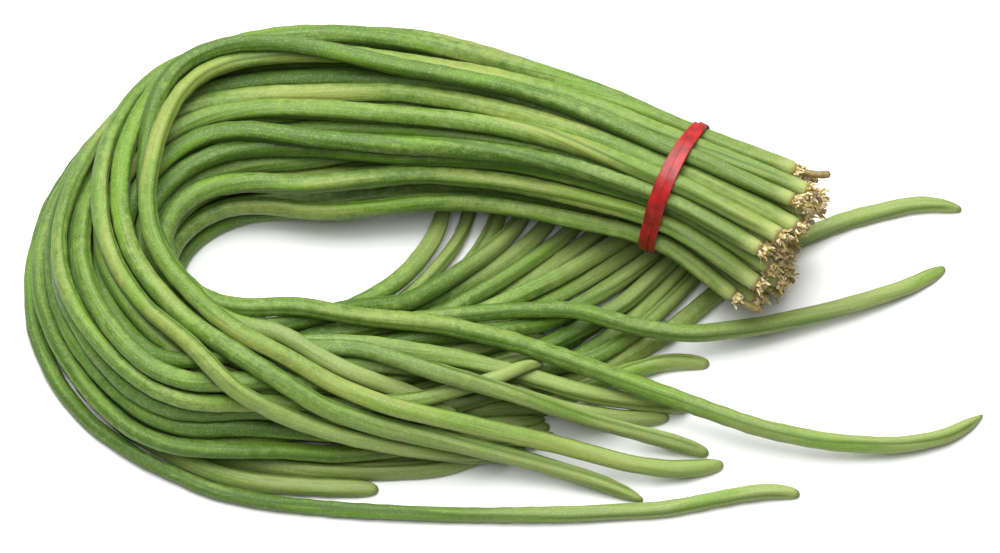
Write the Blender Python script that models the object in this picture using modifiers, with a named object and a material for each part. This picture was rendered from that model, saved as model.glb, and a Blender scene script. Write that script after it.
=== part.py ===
"""A tied bunch of yardlong beans.

Long thin fresh pods are held by one rubber band near their stem ends. From the band
they run left as one round strand, bend back in a broad loop and fan out as loose tails.
The tied head lies above the tails that pass beneath it.

Metres, +Z up. The origin is at the middle of the footprint, on the surface it lies on.
"""
import math
import random

import bmesh
import bpy
import numpy as np
from mathutils import Matrix, Vector

COLLECTION = "yardlong_bean_bunch"

# Driving dimensions
POD_COUNT = 40
POD_RADIUS = 0.0034          # mean radius of a pod's body
POD_SPREAD = 0.09            # how far one pod may be thicker or thinner than the mean
POD_POINTS = 30              # centre points along each pod
GAP = 0.0004                 # clearance that neighbouring pods keep
FLAT_BELOW = 0.00035         # what lies lower than this is pressed flat on the surface

# The stem end: a dry stub in a small cap, then the neck of the pod
STUB_RADIUS = 0.0013
CAP_RADIUS = 0.0022
NECK_RADIUS = 0.0023
STEM_SHAPE = ([0.000, 0.004, 0.005, 0.008], [STUB_RADIUS, STUB_RADIUS, CAP_RADIUS, NECK_RADIUS])
NECK_FROM = 0.006            # the pod swells from its neck to its full girth between these
NECK_TO = 0.018
# Share of the mean girth at distances from the stem end: pods are slimmer towards the stem
GIRTH_SHAPE = ([0.09, 0.20], [0.95, 1.04])
STEM_STAGGER = 0.005         # how unevenly the stem ends line up
STEM_SPLAY = 1.34            # spread of the stem ends, against the band
STEM_JITTER = 0.0010
# The far end: share of the girth left at each distance from the tip
TIP_SHAPE = ([0.000, 0.003, 0.010, 0.030, 0.080], [0.34, 0.62, 0.84, 0.95, 1.00])

# Where the centre points at both ends lie, from the end inwards
STEM_MARKS = [0.0, 0.0045, 0.009, 0.020]
TIP_MARKS = [0.020, 0.006, 0.0]
STRAIGHT_WEIGHT = 16.0       # between the ends they crowd in bends, by one over the bend's radius
BEND_WEIGHT = 18.0

# The rubber band
BAND_WIDTH = 0.0074
BAND_THICKNESS = 0.0016
BAND_ROUNDING = 0.0004
BAND_POINTS = 40             # corners round the band
BAND_SWAY = 0.0007           # how far the band wanders along the bunch
BAND_CLEARANCE = 0.0004      # the band keeps clear of the pods by this
BAND_GRIP = 0.008            # the pods run straight this far either side of the band
BAND_LOOSENESS = 1.8         # gaps between the held pods, in ordinary gaps

POD_GREEN = (0.19, 0.34, 0.06)
BAND_RED = (0.55, 0.03, 0.04)

# The bunch's own middle line, from the stem ends through the band to where the tails part:
# x, y, z, half its width, half its height
BUNCH_LINE = [
    (0.121, -0.007, 0.037, 0.031, 0.031),
    (0.073, 0.019, 0.042, 0.026, 0.026),
    (0.035, 0.038, 0.038, 0.033, 0.026),
    (0.000, 0.052, 0.033, 0.0395, 0.023),
    (-0.040, 0.0615, 0.027, 0.046, 0.020),
    (-0.083, 0.062, 0.022, 0.050, 0.019),
    (-0.126, 0.052, 0.021, 0.041, 0.020),
    (-0.155, 0.025, 0.024, 0.029, 0.024),
    (-0.164, -0.009, 0.026, 0.0235, 0.026),
    (-0.151, -0.040, 0.025, 0.022, 0.025),
    (-0.124, -0.061, 0.022, 0.023, 0.022),
]
BAND_STATION = 1
OWN_FROM = 5                 # first station at which a tail's own shift counts
# How far the upper pods lean out over the lower ones at each station
OUTWARD_LEAN = [0.0, 0.0, 0.0, 0.0, 0.0, 0.1, 0.3, 0.35, 0.3, 0.2, 0.1]
LEAN_LEVEL = -0.3            # height in the section at which a pod doesn't lean
WANDER = 0.05                # how far a pod strays in the loose part of the bunch
FILL = 0.87                  # share of the half width that the outermost pod's middle is at
OVER_ALL = 1.15              # height in the section of a pod that crosses on top

# Tails that part from the rest. place is where the pod lies in the bunch's section (across,
# up), shift is its place across from the middle of the loop's top on, and route is the tail
TAILS = {
    "far": {
        "place": (-0.9, 0.5),
        "route": [
            (-0.083, -0.048, 0.030), (-0.050, -0.047, 0.027), (-0.017, -0.049, 0.022),
            (0.017, -0.055, 0.016), (0.050, -0.064, 0.011), (0.083, -0.074, 0.006),
            (0.117, -0.083, 0.004), (0.150, -0.085, 0.004), (0.180, -0.080, 0.004),
            (0.198, -0.067, 0.004)]},
    "edge": {
        "place": (0.95, -0.3),
        "shift": (1.0, 1.0, 1.0, 1.0, 1.25, 1.3),
        "route": [
            (-0.100, -0.101, 0.004), (-0.075, -0.106, 0.004), (-0.042, -0.110, 0.004),
            (0.000, -0.112, 0.004), (0.050, -0.112, 0.004), (0.083, -0.108, 0.004),
            (0.112, -0.102, 0.004), (0.122, -0.104, 0.004)]},
    "short_edge": {
        "place": (0.75, -0.5),
        "shift": (0.8, 0.8, 0.85, 0.9, 1.0, 1.1),
        "route": [(-0.110, -0.093, 0.004), (-0.083, -0.098, 0.004), (-0.050, -0.102, 0.004)]},
    "low_edge": {
        "place": (0.6, -0.7),
        "shift": (0.6, 0.6, 0.6, 0.5, 0.4, 0.4),
        "route": [
            (-0.110, -0.078, 0.008), (-0.078, -0.083, 0.005), (-0.042, -0.083, 0.004),
            (-0.005, -0.080, 0.004)]},
    "low_edge_inner": {
        "place": (0.45, -0.6),
        "shift": (0.45, 0.45, 0.45, 0.3, 0.2, 0.2),
        "route": [
            (-0.105, -0.071, 0.008), (-0.075, -0.077, 0.005), (-0.042, -0.077, 0.004),
            (0.000, -0.075, 0.004), (0.020, -0.074, 0.004)]},
    "over_first": {
        "place": (0.4, 0.8),
        "shift": (0.50, 0.58, -0.12, -0.78, -1.02, -0.72),
        "route": [
            (-0.100, -0.054, 0.038), (-0.070, -0.070, 0.034), (-0.035, -0.078, 0.026),
            (0.000, -0.084, 0.018), (0.035, -0.090, 0.011), (0.065, -0.095, 0.005),
            (0.091, -0.090, 0.004)]},
    "over_second": {
        "place": (0.55, 0.75),
        "shift": (0.60, 0.66, 0.10, -0.52, -0.74, -0.50),
        "route": [
            (-0.104, -0.062, 0.038), (-0.074, -0.078, 0.032), (-0.040, -0.086, 0.022),
            (-0.004, -0.091, 0.012), (0.036, -0.099, 0.005), (0.058, -0.107, 0.004)]},
    "over_pair": {
        "place": (-0.1, 0.5),
        "route": [
            (-0.080, -0.058, 0.022), (-0.040, -0.066, 0.018), (0.000, -0.073, 0.012),
            (0.030, -0.078, 0.007), (0.058, -0.081, 0.004), (0.085, -0.085, 0.004)]},
    "cross_inner": {
        "place": (0.25, 0.8),
        "shift": (0.40, 0.50, -0.35, -1.05, -1.30, -0.95),
        "route": [
            (-0.095, -0.050, 0.038), (-0.070, -0.062, 0.034), (-0.045, -0.069, 0.026),
            (-0.018, -0.074, 0.016)]},
    "cross_outer": {
        "place": (0.7, 0.6),
        "shift": (0.70, 0.74, 0.32, -0.26, -0.46, -0.28),
        "route": [
            (-0.111, -0.069, 0.032), (-0.083, -0.081, 0.022), (-0.055, -0.085, 0.012),
            (-0.025, -0.084, 0.006), (0.010, -0.082, 0.004)]},
    "inner_short": {
        "place": (-0.6, -0.1),
        "route": [(-0.072, -0.056, 0.012), (-0.040, -0.056, 0.012), (-0.019, -0.054, 0.012)]},
    "middle_first": {
        "place": (-0.5, 0.3),
        "route": [
            (-0.075, -0.055, 0.020), (-0.042, -0.057, 0.018), (0.000, -0.061, 0.014),
            (0.042, -0.066, 0.008), (0.078, -0.063, 0.004)]},
    "middle_second": {
        "place": (-0.3, 0.3),
        "route": [
            (-0.080, -0.062, 0.018), (-0.040, -0.063, 0.014), (0.000, -0.067, 0.010),
            (0.035, -0.071, 0.006), (0.069, -0.068, 0.004)]},
    "front_of_head": {
        "place": (-0.1, -0.3),
        "route": [
            (-0.080, -0.056, 0.010), (-0.040, -0.050, 0.010), (0.000, -0.040, 0.011),
            (0.037, -0.036, 0.012), (0.067, -0.041, 0.010), (0.105, -0.034, 0.004),
            (0.133, -0.024, 0.004), (0.163, -0.012, 0.004), (0.185, 0.003, 0.004)]},
    "front_short": {
        "place": (0.1, -0.2),
        "route": [
            (-0.080, -0.060, 0.010), (-0.040, -0.064, 0.008), (0.000, -0.061, 0.006),
            (0.035, -0.052, 0.005), (0.064, -0.041, 0.004), (0.086, -0.043, 0.004)]},
    "behind_head": {
        "place": (-0.55, -0.7),
        "route": [
            (-0.080, -0.056, 0.004), (-0.040, -0.060, 0.004), (0.000, -0.057, 0.004),
            (0.031, -0.047, 0.004), (0.054, -0.037, 0.004), (0.070, -0.026, 0.004),
            (0.089, -0.009, 0.004), (0.106, 0.007, 0.004), (0.129, 0.020, 0.004),
            (0.154, 0.029, 0.004), (0.179, 0.034, 0.004), (0.193, 0.031, 0.004)]},
}

# The low inner pods keep turning and sweep back under the head, and the rest end under the
# tails above them. Each group is spread evenly across its own routes, from inside to outside
SWEEP_COUNT = 16
SWEEP_LAYERS = 2
SWEEP_ROUTES = [
    [(-0.094, -0.052, 0.004), (-0.072, -0.042, 0.004), (-0.046, -0.022, 0.004),
     (-0.032, 0.000, 0.004), (-0.025, 0.018, 0.004), (-0.023, 0.046, 0.004)],
    [(-0.080, -0.056, 0.004), (-0.048, -0.047, 0.004), (-0.014, -0.034, 0.004),
     (0.019, -0.014, 0.004), (0.047, 0.006, 0.004), (0.068, 0.024, 0.004)],
    [(-0.060, -0.060, 0.004), (-0.018, -0.059, 0.004), (0.022, -0.050, 0.004),
     (0.050, -0.034, 0.004), (0.070, -0.011, 0.004), (0.086, 0.012, 0.004)],
]
UNDER_ROUTES = [
    [(-0.092, -0.062, 0.004), (-0.059, -0.058, 0.004), (-0.019, -0.044, 0.004),
     (0.023, -0.022, 0.004)],
    [(-0.095, -0.064, 0.004), (-0.055, -0.066, 0.004), (-0.010, -0.062, 0.004),
     (0.035, -0.050, 0.004)],
    [(-0.105, -0.076, 0.004), (-0.070, -0.082, 0.004), (-0.030, -0.080, 0.004),
     (0.018, -0.075, 0.004)],
]
UNDER_LAYERS = 3
LAYER = 0.006                # step up from one layer of a group to the next
UNDER_STAGGER = 0.015        # how unevenly the covered tails end
INNER_CLAIM = 0.6            # how much lying on the inside counts, beside lying low

# How the pods are drawn together in the band
PACKING_TURNS = 400
PACKING_START = 1.25         # how loose the sections start
PACKING_PULL = 0.02          # share of their distance that they come in by, at first
PACKING_PUSH = 0.35

# How the pods are laid down
ROUTE_STEPS = 400
SETTLING_TURNS = 340
EASING_TURNS = 120
CLEARING_TURNS = 900
HEIGHT_LIFT = 0.6            # how much higher the pods start than their routes
LIFT_FADE = 3.0              # the lift fades over the last third of a pod
FALL = 0.0010                # how far a pod sinks at the first turn
LAST_FALL = 0.0002           # and at the last
SETTLING_PUSH = 1.3
CLEARING_PUSH = 0.9
SIDE_EVENING = 0.5           # how strongly bends are evened out: sideways, and in height
HEIGHT_EVENING = 0.4
EASED_SIDE = 0.2             # and the same while the last overlaps are cleared
EASED_HEIGHT = 0.1
SEARCH_MARGIN = 0.006        # pieces closer than this are watched for touching
SEARCH_EVERY = 6             # turns
NAMED_HOLD = 0.16            # how firmly a named tail keeps to its route
SPARE_HOLD = 0.10            # and the others
FLOOR_SHARE = 0.88           # height of a lying pod's middle, in its radii
SETTLED = 0.25               # overlap that still counts as clear, in gaps

LAYOUT_SEED = 5
TONE_SEED = 3
TONE_SPREAD = 0.15


def natural_spline(points, at):
    """Smooth curve through the points, read at fractions of its length from 0 to 1."""
    points = np.asarray(points, dtype=float)
    last = len(points) - 1
    steps = np.sqrt(np.linalg.norm(np.diff(points, axis=0), axis=1))
    knots = np.concatenate([[0.0], np.cumsum(steps)])
    matrix = np.eye(last + 1)
    right = np.zeros_like(points)
    for k in range(1, last):
        matrix[k, k - 1:k + 2] = steps[k - 1], 2 * (steps[k - 1] + steps[k]), steps[k]
        right[k] = 6 * ((points[k + 1] - points[k]) / steps[k]
                        - (points[k] - points[k - 1]) / steps[k - 1])
    bend = np.linalg.solve(matrix, right)
    where = np.asarray(at) * knots[-1]
    k = np.clip(np.searchsorted(knots, where, side="right") - 1, 0, last - 1)
    before = (where - knots[k])[:, None]
    after = (knots[k + 1] - where)[:, None]
    step = steps[k][:, None]
    cubic = (bend[k] * after ** 3 + bend[k + 1] * before ** 3) / (6 * step)
    start = (points[k] / step - bend[k] * step / 6) * after
    end = (points[k + 1] / step - bend[k + 1] * step / 6) * before
    return cubic + start + end


def lengths_along(line):
    """Distance of each point of a line from its start."""
    return np.concatenate([[0.0], np.cumsum(np.linalg.norm(np.diff(line, axis=0), axis=1))])


def read_line(line, distances):
    """Points of a line at the given distances from its start."""
    along = lengths_along(line)
    return np.stack([np.interp(distances, along, line[:, axis]) for axis in range(3)], axis=1)


def bunch_frames():
    """Middle, forward, across and up vectors, and half sizes, at each station of the bunch."""
    line = np.array(BUNCH_LINE)
    middle = line[:, :3]
    ahead = np.gradient(middle, axis=0)
    ahead /= np.linalg.norm(ahead, axis=1)[:, None]
    across = np.stack([ahead[:, 1], -ahead[:, 0], np.zeros(len(line))], axis=1)
    across /= np.linalg.norm(across, axis=1)[:, None]
    up = np.cross(across, ahead)
    return middle, ahead, across, up, line[:, 3:]


def section_places():
    """Even places across the round bunch, as (across, up) within a unit circle."""
    golden = math.pi * (3 - math.sqrt(5))
    places = []
    for k in range(POD_COUNT):
        reach = math.sqrt((k + 0.5) / POD_COUNT)
        places.append((reach * math.cos(k * golden), reach * math.sin(k * golden)))
    return places


def assign_places(places):
    """Give each named tail the free place nearest to the one it asks for."""
    free = dict(enumerate(places))
    owner = {}
    for name, tail in TAILS.items():
        nearest = min(free, key=lambda k: math.dist(free[k], tail["place"]))
        owner[nearest] = name
        del free[nearest]
    return owner


def pack_in_band(places, radii):
    """Round pod sections drawn together until they touch, as the band holds them."""
    spots = np.array(places) * POD_RADIUS * math.sqrt(POD_COUNT) * PACKING_START
    need = radii[:, None] + radii[None, :] + BAND_LOOSENESS * GAP
    np.fill_diagonal(need, 0.0)
    for turn in range(PACKING_TURNS):
        spots *= 1.0 - PACKING_PULL * (1.0 - turn / PACKING_TURNS)
        apart = spots[:, None, :] - spots[None, :, :]
        distance = np.linalg.norm(apart, axis=2)
        np.fill_diagonal(distance, 1.0)
        push = np.maximum(need - distance, 0.0) / distance
        spots += PACKING_PUSH * (push[:, :, None] * apart).sum(axis=1)
    return spots


def between_routes(routes, share):
    """The route at a share of the way from the first of the routes to the last."""
    place = share * (len(routes) - 1)
    before = min(int(place), len(routes) - 2)
    part = place - before
    return (1 - part) * np.array(routes[before]) + part * np.array(routes[before + 1])


def sweep_tail(number, count):
    """One of the tails that sweep back under the head: its end lies on the surface."""
    tail = between_routes(SWEEP_ROUTES, number / (count - 1))
    tail[:-1, 2] += LAYER * (number % SWEEP_LAYERS)
    return tail


def under_tail(number, count, draw):
    """One of the tails that end covered by others, in layers."""
    tail = between_routes(UNDER_ROUTES, number / (count - 1))
    tail[:, 2] += LAYER * (number % UNDER_LAYERS)
    tail[-1, 0] += draw.uniform(-1, 1) * UNDER_STAGGER
    return tail


def choose_tails(places, draw):
    """Name, route and own shift of the tail of each pod."""
    owner = assign_places(places)
    spare = [k for k in range(POD_COUNT) if k not in owner]
    spare.sort(key=lambda k: INNER_CLAIM * places[k][0] + places[k][1])
    sweeps = sorted(spare[:SWEEP_COUNT], key=lambda k: places[k][0])
    unders = sorted(spare[SWEEP_COUNT:], key=lambda k: places[k][0])
    tails = {}
    for k, name in owner.items():
        tails[k] = name, np.array(TAILS[name]["route"]), TAILS[name].get("shift")
    for number, k in enumerate(sweeps):
        tails[k] = f"sweep_{number + 1:02d}", sweep_tail(number, len(sweeps)), None
    for number, k in enumerate(unders):
        tails[k] = f"under_{number + 1:02d}", under_tail(number, len(unders), draw), None
    return tails


def build_routes():
    """First routes of all pods, one smooth line each, before they are clear of each other."""
    middle, ahead, across, up, half = bunch_frames()
    places = section_places()
    draw = random.Random(LAYOUT_SEED)
    radii = np.array([POD_RADIUS * (1 + draw.uniform(-POD_SPREAD, POD_SPREAD)) for _ in places])
    packed = pack_in_band(places, radii * GIRTH_SHAPE[1][0])
    tails = choose_tails(places, draw)
    routes = []
    grips = []
    for k, (u, v) in enumerate(places):
        name, tail, own_shift = tails[k]
        shift = [u] * len(middle)
        rise = [v] * len(middle)
        if own_shift:
            shift[OWN_FROM:] = own_shift
            if v > 0:
                later = OWN_FROM + 1
                rise[later:] = [OVER_ALL] * (len(middle) - later)
        jitter = STEM_JITTER * np.array([draw.uniform(-1, 1), draw.uniform(-1, 1)])
        stem = packed[k] * STEM_SPLAY + jitter
        stagger = draw.uniform(-1, 1) * STEM_STAGGER
        end = middle[0] + stem[0] * across[0] + stem[1] * up[0] + stagger * ahead[0]
        s = BAND_STATION
        held = middle[s] + packed[k, 0] * across[s] + packed[k, 1] * up[s]
        grip = [held - BAND_GRIP * ahead[s], held + BAND_GRIP * ahead[s]]
        body = [end, *grip]
        for s in range(BAND_STATION + 1, len(middle)):
            loose = 0.0 if s == BAND_STATION + 1 else WANDER
            a = FILL * shift[s] + draw.uniform(-1, 1) * loose
            b = FILL * rise[s] + draw.uniform(-1, 1) * loose
            if name not in TAILS:
                a += OUTWARD_LEAN[s] * (v - LEAN_LEVEL)
            body.append(middle[s] + a * half[s, 0] * across[s] + b * half[s, 1] * up[s])
        routes.append(natural_spline(np.vstack([body, tail]), np.linspace(0, 1, ROUTE_STEPS)))
        grips.append(grip)
    names = [tails[k][0] for k in range(POD_COUNT)]
    return routes, grips, radii, names


def radius_along(girth, from_stem, from_tip):
    """Radius of a pod of the given girth at a distance from its stem end and from its tip."""
    stem = np.interp(from_stem, *STEM_SHAPE)
    grown = np.interp(from_stem, [NECK_FROM, NECK_TO], [0.0, 1.0])
    body = girth * np.interp(from_stem, *GIRTH_SHAPE) * np.interp(from_tip, *TIP_SHAPE)
    return (1 - grown) * stem + grown * body


def place_points(route, grip):
    """Centre points along one pod: close together at its ends and where it bends."""
    along = lengths_along(route)
    total = along[-1]
    held = [along[np.argmin(np.linalg.norm(route - point, axis=1))] for point in grip]
    tip = [total - mark for mark in TIP_MARKS]
    count = POD_POINTS - len(STEM_MARKS) - len(held) - len(tip)
    ahead = np.diff(route, axis=0) / np.diff(along)[:, None]
    turning = np.linalg.norm(np.diff(ahead, axis=0), axis=1) / np.diff(along)[1:]
    weight = np.zeros(len(route))
    weight[1:-1] = STRAIGHT_WEIGHT + np.minimum(turning, BEND_WEIGHT)
    weight[(along < held[1]) | (along > tip[0])] = 0.0
    amount = np.concatenate([[0.0], np.cumsum(weight[1:] * np.diff(along))])
    between = np.interp(np.linspace(0, amount[-1], count + 2)[1:-1], amount, along)
    distances = np.concatenate([STEM_MARKS, held, between, tip])
    return read_line(route, distances), distances, total


def closest_shares(p0, p1, q0, q1):
    """Where two sets of straight pieces come closest, as shares along each."""
    d1 = p1 - p0
    d2 = q1 - q0
    r = p0 - q0
    a = np.einsum("ij,ij->i", d1, d1)
    e = np.einsum("ij,ij->i", d2, d2)
    b = np.einsum("ij,ij->i", d1, d2)
    c = np.einsum("ij,ij->i", d1, r)
    f = np.einsum("ij,ij->i", d2, r)
    spread = a * e - b * b
    parallel = spread < 1e-6 * a * e
    s = np.where(parallel, 0.5, (b * f - c * e) / np.where(parallel, 1.0, spread))
    s = np.clip(s, 0.0, 1.0)
    t = np.clip((b * s + f) / e, 0.0, 1.0)
    s = np.clip((b * t - c) / a, 0.0, 1.0)
    t = np.clip((b * s + f) / e, 0.0, 1.0)
    return s, t


class Heap:
    """The pods as chains of round straight pieces that may not pass through each other."""

    def __init__(self, chains, radii, held):
        self.pods, self.count, _ = chains.shape
        self.points = chains.reshape(-1, 3).copy()
        self.radii = radii.reshape(-1)
        self.free = 1.0 - held.reshape(-1)
        index = np.arange(self.pods * self.count).reshape(self.pods, self.count)
        self.start = index[:, :-1].reshape(-1)
        self.end = index[:, 1:].reshape(-1)
        self.pod = np.repeat(np.arange(self.pods), self.count - 1)
        self.find_neighbours()

    def find_neighbours(self):
        """Pairs of pieces of different pods that may touch soon."""
        p0 = self.points[self.start]
        p1 = self.points[self.end]
        middle = 0.5 * (p0 + p1)
        reach = 0.5 * np.linalg.norm(p1 - p0, axis=1) + self.radii.max() + 0.5 * SEARCH_MARGIN
        square = (middle ** 2).sum(axis=1)
        apart = square[:, None] + square[None, :] - 2 * middle @ middle.T
        near = apart < (reach[:, None] + reach[None, :]) ** 2
        near &= self.pod[:, None] < self.pod[None, :]
        first, second = np.nonzero(near)
        s, t = closest_shares(p0[first], p1[first], p0[second], p1[second])
        spot = p0[first] + s[:, None] * (p1 - p0)[first]
        other = p0[second] + t[:, None] * (p1 - p0)[second]
        close = np.linalg.norm(spot - other, axis=1) < 2 * self.radii.max() + SEARCH_MARGIN
        self.first = first[close]
        self.second = second[close]

    def push_apart(self, strength):
        """Part the pieces that are too close; returns how deep the deepest overlap was."""
        a0 = self.start[self.first]
        a1 = self.end[self.first]
        b0 = self.start[self.second]
        b1 = self.end[self.second]
        p = self.points
        s, t = closest_shares(p[a0], p[a1], p[b0], p[b1])
        spot = p[a0] + s[:, None] * (p[a1] - p[a0])
        other = p[b0] + t[:, None] * (p[b1] - p[b0])
        apart = spot - other
        distance = np.maximum(np.linalg.norm(apart, axis=1), 1e-7)
        need = (1 - s) * self.radii[a0] + s * self.radii[a1] + GAP
        need += (1 - t) * self.radii[b0] + t * self.radii[b1]
        deep = need - distance
        hit = deep > 0
        if not hit.any():
            return 0.0
        ends = [a0[hit], a1[hit], b0[hit], b1[hit]]
        shares = [1 - s[hit], s[hit], 1 - t[hit], t[hit]]
        sides = [1.0, 1.0, -1.0, -1.0]
        yielding = sum(w * w * self.free[k] for k, w in zip(ends, shares))
        amount = deep[hit] / np.maximum(yielding, 1e-3)
        line = apart[hit] / distance[hit][:, None]
        size = len(self.points)
        moved = np.zeros((size, 3))
        touches = np.zeros(size)
        for k, w, side in zip(ends, shares, sides):
            pull = side * amount * w * self.free[k]
            touches += np.bincount(k, weights=w, minlength=size)
            for axis in range(3):
                moved[:, axis] += np.bincount(k, weights=pull * line[:, axis], minlength=size)
        self.points += strength * moved / np.maximum(touches, 1.0)[:, None]
        return float(deep.max())

    def stay_above_surface(self):
        """No pod sinks into the surface that the bunch lies on."""
        self.points[:, 2] = np.maximum(self.points[:, 2], FLOOR_SHARE * self.radii)

    def even_out(self, values, strength):
        """Values along each pod, each drawn towards the line between its two neighbours."""
        chain = self.points.reshape(self.pods, self.count, 3)
        step = np.linalg.norm(np.diff(chain, axis=1), axis=2)
        before = step[:, :-1, None]
        after = step[:, 1:, None]
        rows = values.reshape(self.pods, self.count, -1)
        between = (rows[:, :-2] * after + rows[:, 2:] * before) / (before + after)
        free = self.free.reshape(self.pods, self.count, 1)[:, 1:-1]
        result = rows.copy()
        result[:, 1:-1] += free * strength * (between - rows[:, 1:-1])
        return result.reshape(values.shape)


def lay_down(chains, radii, holds):
    """Lower the pods onto the surface and each other, then clear them of each other."""
    held = np.zeros(chains.shape[:2])
    grip_end = len(STEM_MARKS) + 1
    held[:, :grip_end + 1] = 1.0
    heap = Heap(chains, radii, held)
    free = heap.free[:, None]
    route = heap.points[:, :2].copy()
    from_tip = np.linspace(1.0, 0.0, heap.count)
    lift = HEIGHT_LIFT * np.tile(np.minimum(LIFT_FADE * from_tip, 1.0), heap.pods)
    heap.points[:, 2] += heap.free * heap.points[:, 2] * lift
    stay = free * np.repeat(holds, heap.count)[:, None]
    for turn in range(SETTLING_TURNS):
        if turn % SEARCH_EVERY == 0:
            heap.find_neighbours()
        heap.points[:, 2] -= heap.free * (FALL + (LAST_FALL - FALL) * turn / SETTLING_TURNS)
        for _ in range(4):
            heap.points[:, :2] = route + heap.even_out(heap.points[:, :2] - route, SIDE_EVENING)
        heap.points[:, :2] -= stay * (heap.points[:, :2] - route)
        for _ in range(3):
            heap.points[:, 2:] = heap.even_out(heap.points[:, 2:], HEIGHT_EVENING)
        for _ in range(3):
            heap.push_apart(SETTLING_PUSH)
            heap.stay_above_surface()
    heap.free[grip_end::heap.count] = 1.0
    for turn in range(CLEARING_TURNS):
        if turn % SEARCH_EVERY == 0:
            heap.find_neighbours()
        if turn < EASING_TURNS:
            heap.points[:, :2] = route + heap.even_out(heap.points[:, :2] - route, EASED_SIDE)
            heap.points[:, 2:] = heap.even_out(heap.points[:, 2:], EASED_HEIGHT)
        deepest = heap.push_apart(CLEARING_PUSH)
        heap.stay_above_surface()
        if deepest < SETTLED * GAP:
            break
    return heap.points.reshape(chains.shape)


def lay_out_pods():
    """Centre points and radii along every pod, lying clear of each other, and their names."""
    routes, grips, sizes, names = build_routes()
    chains = []
    girths = []
    for route, grip, size in zip(routes, grips, sizes):
        points, distances, total = place_points(route, grip)
        chains.append(points)
        girths.append(radius_along(size, distances, total - distances))
    girths = np.array(girths)
    holds = np.array([NAMED_HOLD if name in TAILS else SPARE_HOLD for name in names])
    return lay_down(np.array(chains), girths, holds), girths, names


def make_material(name, colour, roughness):
    """Plain finish with one colour."""
    material = bpy.data.materials.new(name)
    material.use_nodes = True
    shader = material.node_tree.nodes["Principled BSDF"]
    shader.inputs["Base Color"].default_value = (*colour, 1.0)
    shader.inputs["Roughness"].default_value = roughness
    shader.inputs["Metallic"].default_value = 0.0
    material.diffuse_color = (*colour, 1.0)
    return material


def make_pod(name, points, radii, collection):
    """One pod: a six-sided tube that follows its centre points and narrows at both ends."""
    curve = bpy.data.curves.new(name, "CURVE")
    curve.dimensions = "3D"
    curve.twist_mode = "Z_UP"
    curve.bevel_depth = POD_RADIUS
    curve.bevel_resolution = 1
    curve.use_fill_caps = True
    spline = curve.splines.new("POLY")
    spline.points.add(len(points) - 1)
    for target, point, radius in zip(spline.points, points, radii):
        target.co = (*point, 1.0)
        target.radius = radius / POD_RADIUS
    tube = bpy.data.objects.new(name + "_tube", curve)
    collection.objects.link(tube)
    evaluated = tube.evaluated_get(bpy.context.evaluated_depsgraph_get())
    mesh = bpy.data.meshes.new_from_object(evaluated)
    bpy.data.objects.remove(tube)
    mesh.name = name
    body = bmesh.new()
    body.from_mesh(mesh)
    bmesh.ops.remove_doubles(body, verts=body.verts, dist=1e-6)
    for vertex in body.verts:
        if vertex.co.z < FLAT_BELOW:
            vertex.co.z = 0.0
    body.to_mesh(mesh)
    body.free()
    mesh.shade_smooth()
    mesh.set_sharp_from_angle(angle=math.radians(70))
    pod = bpy.data.objects.new(name, mesh)
    collection.objects.link(pod)
    return pod


def band_outline(frame, laid, girths):
    """Hull of the held pods' round sections, looking along the bunch: inner edge of the band."""
    middle, ahead, across, up = frame
    half = 0.5 * BAND_WIDTH + BAND_SWAY
    near = slice(len(STEM_MARKS) - 1, len(STEM_MARKS) + 4)
    centres = []
    sizes = []
    for points, radii in zip(laid, girths):
        along = (points[near] - middle) @ ahead
        for level in (-half, 0.0, half):
            point = np.array([np.interp(level, along, points[near, axis]) for axis in range(3)])
            centres.append(((point - middle) @ across, (point - middle) @ up))
            sizes.append(radii[near][1:3].max())
    centres = np.array(centres)
    sizes = np.array(sizes)
    outline = []
    for k in range(BAND_POINTS):
        angle = math.tau * k / BAND_POINTS
        normal = np.array([math.cos(angle), math.sin(angle)])
        outermost = np.argmax(centres @ normal + sizes)
        outline.append(centres[outermost] + (sizes[outermost] + BAND_CLEARANCE) * normal)
    return outline


def make_band(laid, girths, collection):
    """The rubber band: a flat strip round the held pods, given its thickness outwards."""
    middle, ahead, across, up = (part[BAND_STATION] for part in bunch_frames()[:4])
    outline = band_outline((middle, ahead, across, up), laid, girths)
    strip = bmesh.new()
    rows = []
    for side in (-0.5, 0.5):
        row = []
        for k, (a, b) in enumerate(outline):
            sway = BAND_SWAY * math.sin(2 * math.tau * k / BAND_POINTS)
            place = middle + a * across + b * up + (side * BAND_WIDTH + sway) * ahead
            row.append(strip.verts.new(place))
        rows.append(row)
    for k in range(BAND_POINTS):
        after = (k + 1) % BAND_POINTS
        face = strip.faces.new((rows[0][k], rows[0][after], rows[1][after], rows[1][k]))
        face.normal_update()
        if face.normal.dot(face.calc_center_median() - Vector(middle)) < 0:
            face.normal_flip()
    mesh = bpy.data.meshes.new("rubber_band")
    strip.to_mesh(mesh)
    strip.free()
    mesh.shade_smooth()
    band = bpy.data.objects.new("rubber_band", mesh)
    collection.objects.link(band)
    wall = band.modifiers.new("thickness", "SOLIDIFY")
    wall.thickness = BAND_THICKNESS
    wall.offset = 1.0
    wall.use_even_offset = True
    rounding = band.modifiers.new("rounding", "BEVEL")
    rounding.width = BAND_ROUNDING
    rounding.segments = 1
    rounding.limit_method = "ANGLE"
    rounding.angle_limit = math.radians(50)
    return band


def centre_on_origin(collection):
    """Move all pieces so that the origin is at the middle of the footprint."""
    corners = np.array([vertex.co for piece in collection.objects for vertex in piece.data.vertices])
    low = corners.min(axis=0)
    high = corners.max(axis=0)
    shift = Matrix.Translation((-0.5 * (low[0] + high[0]), -0.5 * (low[1] + high[1]), 0.0))
    for piece in collection.objects:
        piece.data.transform(shift)


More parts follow.
